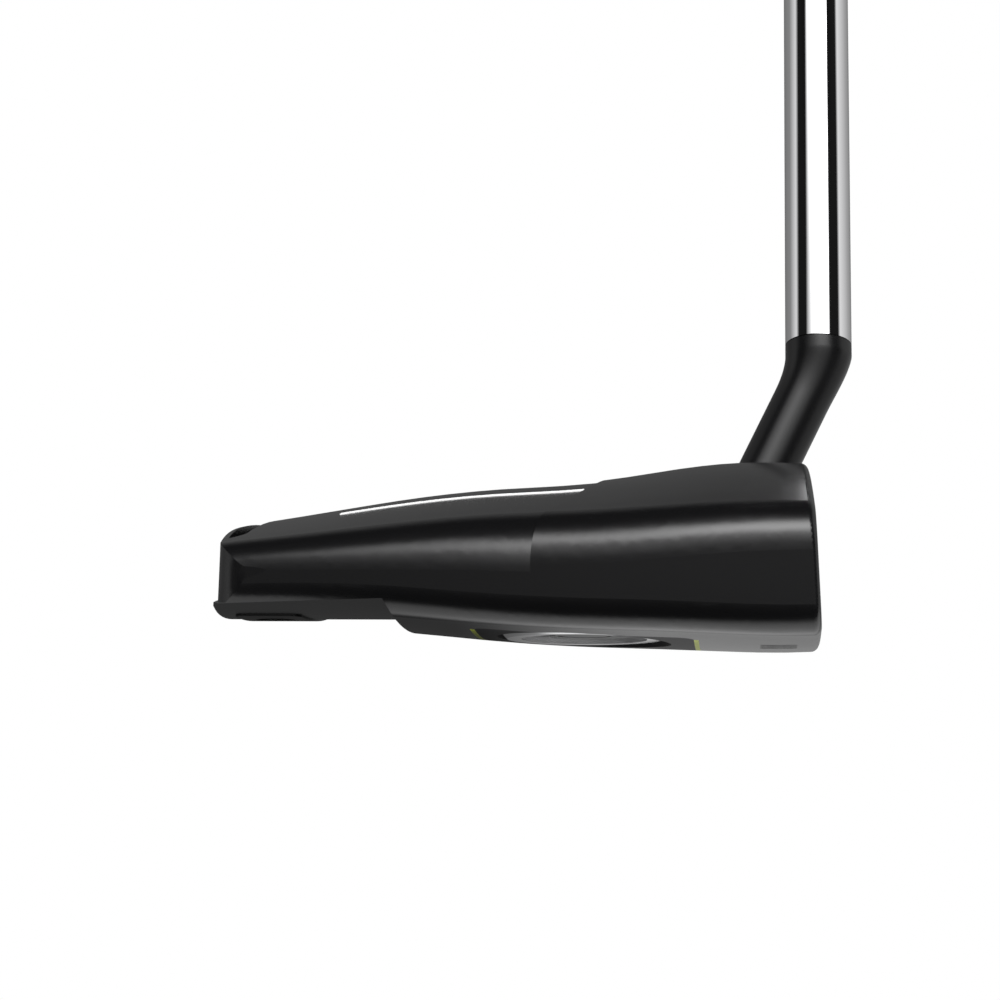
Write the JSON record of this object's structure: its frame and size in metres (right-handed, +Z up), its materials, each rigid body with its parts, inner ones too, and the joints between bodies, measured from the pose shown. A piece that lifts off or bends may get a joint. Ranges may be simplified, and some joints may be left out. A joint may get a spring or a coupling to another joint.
{
  "type": "mallet putter",
  "caption": "Mallet-head golf putter with a slant neck, steel shaft, flat-front grip and screw-in round sole weights.",
  "frame": {"origin": "middle of the landing flat on the sole, on the ground under the head", "axes": "+X along the strike direction, square to the face in plan; +Y from toe to heel, towards the golfer; +Z up"},
  "size_m": [0.093, 0.3668, 0.815],
  "materials": {
    "black_head": "satin",
    "face_insert": "satin",
    "bond_pad": "matte",
    "black_steel": "satin",
    "sole_plate": "satin",
    "trim": "satin",
    "tick_paint": "satin",
    "white_paint": "satin",
    "weight_steel": "satin",
    "weight_cap": "satin",
    "seal": "matte",
    "screw_steel": "satin",
    "chrome_shaft": "polished",
    "glue": "matte",
    "grip_skin": "matte",
    "grip_core": "matte",
    "tape": "matte",
    "cap_plastic": "matte"
  },
  "bodies": {
    "club": {"head_body": "black_head", "face_insert": "face_insert", "insert_bond_pad": "bond_pad", "slant_neck": "black_steel", "sole_plate": "sole_plate", "sole_trim_front": "trim", "sole_trim_rear": "trim", "sole_tick_marks": "tick_paint", "tail_weight_bar": "black_steel", "tail_bar_screws": "screw_steel", "sight_line_toe": "white_paint", "sight_line_heel": "white_paint", "shaft": "chrome_shaft", "shaft_bond": "glue", "grip_body": "grip_skin", "grip_underlisting": "grip_core", "grip_tape": "tape", "grip_end_cap": "cap_plastic"},
    "toe_weight_washer": {"toe_weight_washer": "seal"},
    "toe_weight": {"toe_weight": "weight_steel", "toe_weight_cap": "weight_cap"},
    "heel_weight_washer": {"heel_weight_washer": "seal"},
    "heel_weight": {"heel_weight": "weight_steel", "heel_weight_cap": "weight_cap"}
  },
  "joints": [
    {"name": "toe_weight_draw", "type": "slide", "parent": "club", "child": "toe_weight_washer", "axis": [0, -0.1142, -0.9935], "range_m": [0, 0.0075]},
    {"name": "toe_weight_turn", "type": "hinge", "parent": "toe_weight_washer", "child": "toe_weight", "pos_m": [-0.024, -0.02891, 0.00249], "axis": [0, -0.1142, -0.9935], "range_deg": [0, 2160]},
    {"name": "heel_weight_draw", "type": "slide", "parent": "club", "child": "heel_weight_washer", "axis": [0, 0.1142, -0.9935], "range_m": [0, 0.0075]},
    {"name": "heel_weight_turn", "type": "hinge", "parent": "heel_weight_washer", "child": "heel_weight", "pos_m": [-0.024, 0.02891, 0.00249], "axis": [0, 0.1142, -0.9935], "range_deg": [0, 2160]}
  ],
  "couplings": [
    {"joint": "toe_weight_turn", "follows": "toe_weight_draw", "rad_per_m": 5026.5},
    {"joint": "heel_weight_turn", "follows": "heel_weight_draw", "rad_per_m": 5026.5}
  ]
}
